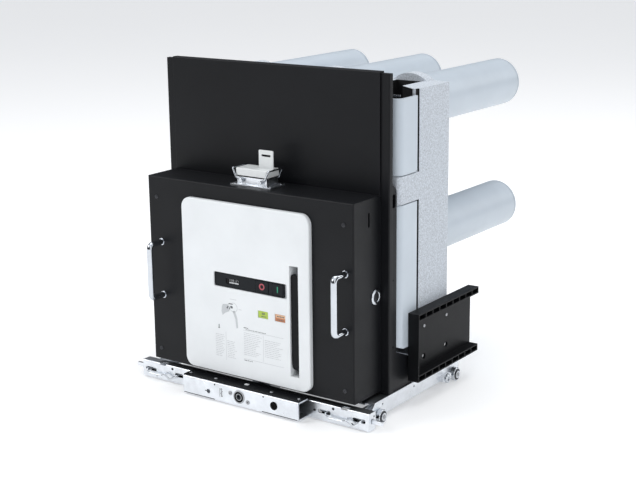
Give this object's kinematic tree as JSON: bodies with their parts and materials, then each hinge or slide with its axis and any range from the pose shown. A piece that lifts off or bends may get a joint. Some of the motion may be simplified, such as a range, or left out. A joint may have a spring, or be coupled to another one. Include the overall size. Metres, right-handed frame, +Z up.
{
  "type": "withdrawable vacuum circuit breaker",
  "caption": "Withdrawable medium-voltage vacuum circuit breaker on a racking truck, with a charging lever, push buttons and rearward contact arms.",
  "frame": {"origin": "on the floor under the middle of the overall size", "axes": "+X to the right seen from the front, the front faces -Y, +Z up"},
  "size_m": [0.48, 0.551, 0.5205],
  "materials": {
    "black_coat": "fine-textured powder coat",
    "zinc_steel": "bright zinc plating",
    "bright_chrome": "polished",
    "white_cover": "satin moulded",
    "pole_resin": "smooth grey moulded",
    "speckled_resin": "speckled grey moulded",
    "arm_sleeve": "smooth satin",
    "silver_copper": "silver plated",
    "black_plastic": "moulded",
    "strip_black": "satin",
    "counter_black": "gloss",
    "green_window": "gloss",
    "orange_window": "gloss",
    "steel": "machined",
    "connector_shell": "satin",
    "seal_rubber": "matte"
  },
  "bodies": {
    "truck": {"pole_housing_left": "speckled_resin", "pole_cover_left": "pole_resin", "upper_arm_tube_left": "arm_sleeve", "lower_arm_tube_left": "arm_sleeve", "upper_contact_left": "silver_copper", "lower_contact_left": "silver_copper", "pole_housing_middle": "speckled_resin", "pole_cover_middle": "pole_resin", "upper_arm_tube_middle": "arm_sleeve", "lower_arm_tube_middle": "arm_sleeve", "upper_contact_middle": "silver_copper", "lower_contact_middle": "silver_copper", "pole_housing_right": "speckled_resin", "pole_cover_right": "pole_resin", "upper_arm_tube_right": "arm_sleeve", "lower_arm_tube_right": "arm_sleeve", "upper_contact_right": "silver_copper", "lower_contact_right": "silver_copper", "side_rail_left": "zinc_steel", "grab_handle_left": "bright_chrome", "shutter_guide_left": "black_plastic", "side_rail_right": "zinc_steel", "grab_handle_right": "bright_chrome", "shutter_guide_right": "black_plastic", "truck_deck": "zinc_steel", "racking_nut": "steel", "mechanism_housing": "black_coat", "front_cover": "white_cover", "control_strip": "strip_black", "operation_counter": "counter_black", "spring_indicator": "green_window", "position_indicator": "orange_window", "side_lock": "bright_chrome", "shield_plate": "black_coat", "shield_panel": "black_coat", "mechanism_frame": "black_coat", "connector_base": "zinc_steel", "connector_seal": "seal_rubber", "connector_plug": "connector_shell", "connector_tab": "connector_shell"},
    "racking_beam": {"front_beam": "zinc_steel", "racking_housing": "zinc_steel", "racking_cover_plate": "black_coat"},
    "racking_screw": {"racking_screw": "steel"},
    "charging_lever": {"charging_lever": "black_plastic"},
    "off_button": {"off_button": "strip_black"},
    "on_button": {"on_button": "strip_black"},
    "front_wheel_left": {"front_wheel_left": "bright_chrome"},
    "rear_wheel_left": {"rear_wheel_left": "bright_chrome"},
    "slide_bolt_left": {"slide_bolt_left": "zinc_steel"},
    "connector_latch_left": {"connector_latch_left": "bright_chrome"},
    "front_wheel_right": {"front_wheel_right": "bright_chrome"},
    "rear_wheel_right": {"rear_wheel_right": "bright_chrome"},
    "slide_bolt_right": {"slide_bolt_right": "zinc_steel"},
    "connector_latch_right": {"connector_latch_right": "bright_chrome"}
  },
  "joints": [
    {"name": "racking", "type": "slide", "parent": "truck", "child": "racking_beam", "axis": [0, -1, 0], "range_m": [0, 0.2]},
    {"name": "screw_spin", "type": "hinge", "parent": "racking_beam", "child": "racking_screw", "pos_m": [0, -0.2685, 0.0185], "axis": [0, 1, 0], "range_deg": [0, 9001]},
    {"name": "front_wheel_left_spin", "type": "hinge", "parent": "truck", "child": "front_wheel_left", "pos_m": [-0.2139, -0.1975, 0.011], "axis": [1, 0, 0], "continuous": true},
    {"name": "rear_wheel_left_spin", "type": "hinge", "parent": "truck", "child": "rear_wheel_left", "pos_m": [-0.2139, 0.0245, 0.011], "axis": [1, 0, 0], "continuous": true},
    {"name": "front_wheel_right_spin", "type": "hinge", "parent": "truck", "child": "front_wheel_right", "pos_m": [0.2139, -0.1975, 0.011], "axis": [1, 0, 0], "continuous": true},
    {"name": "rear_wheel_right_spin", "type": "hinge", "parent": "truck", "child": "rear_wheel_right", "pos_m": [0.2139, 0.0245, 0.011], "axis": [1, 0, 0], "continuous": true},
    {"name": "slide_bolt_left_pull", "type": "slide", "parent": "racking_beam", "child": "slide_bolt_left", "axis": [1, 0, 0], "range_m": [0, 0.01], "stiffness_N_per_m": 200, "springref_m": -0.01},
    {"name": "slide_bolt_right_pull", "type": "slide", "parent": "racking_beam", "child": "slide_bolt_right", "axis": [-1, 0, 0], "range_m": [0, 0.01], "stiffness_N_per_m": 200, "springref_m": -0.01},
    {"name": "lever_stroke", "type": "hinge", "parent": "truck", "child": "charging_lever", "pos_m": [0.0933, -0.2295, 0.085], "axis": [1, 0, 0], "range_deg": [0, 75]},
    {"name": "off_button_press", "type": "slide", "parent": "truck", "child": "off_button", "axis": [0, 1, 0], "range_m": [0, 0.003], "stiffness_N_per_m": 400, "springref_m": -0.002},
    {"name": "on_button_press", "type": "slide", "parent": "truck", "child": "on_button", "axis": [0, 1, 0], "range_m": [0, 0.003], "stiffness_N_per_m": 400, "springref_m": -0.002},
    {"name": "connector_latch_left_swing", "type": "hinge", "parent": "truck", "child": "connector_latch_left", "pos_m": [-0.02, -0.2075, 0.3485], "axis": [0, -1, 0], "range_deg": [0, 55]},
    {"name": "connector_latch_right_swing", "type": "hinge", "parent": "truck", "child": "connector_latch_right", "pos_m": [0.016, -0.2075, 0.3485], "axis": [0, 1, 0], "range_deg": [0, 55]}
  ],
  "couplings": [
    {"joint": "screw_spin", "follows": "racking", "rad_per_m": 785.4}
  ]
}
